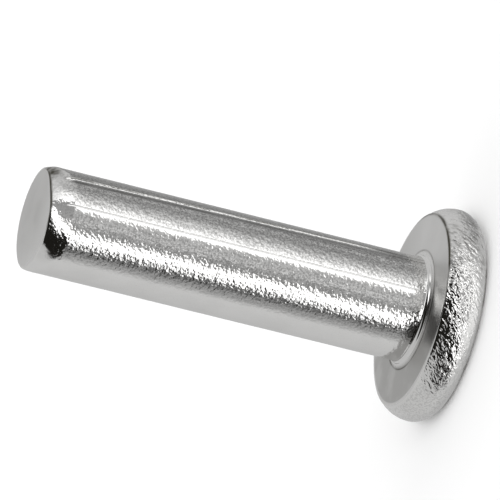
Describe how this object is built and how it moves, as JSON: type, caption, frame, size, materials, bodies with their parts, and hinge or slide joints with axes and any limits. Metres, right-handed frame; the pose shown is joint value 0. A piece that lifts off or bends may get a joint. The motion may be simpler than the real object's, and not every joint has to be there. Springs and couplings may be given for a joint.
{
  "type": "solid rivet",
  "caption": "Solid metal rivet with a flat barrel-rimmed head, a filleted neck, a plain round shank and a rounded, cropped tail that is upset to join sheets.",
  "frame": {"origin": "centre of the head's flat outer face, on which the rivet stands", "axes": "+Z along the shank from the head to the tail; +X and +Y are free, because the rivet is round"},
  "size_m": [0.0082, 0.0082, 0.0165],
  "materials": {
    "bright_metal": "bright, with a fine orange-peel grain and a wrinkled rim"
  },
  "bodies": {
    "root": {"rivet": "bright_metal"}
  },
  "joints": []
}
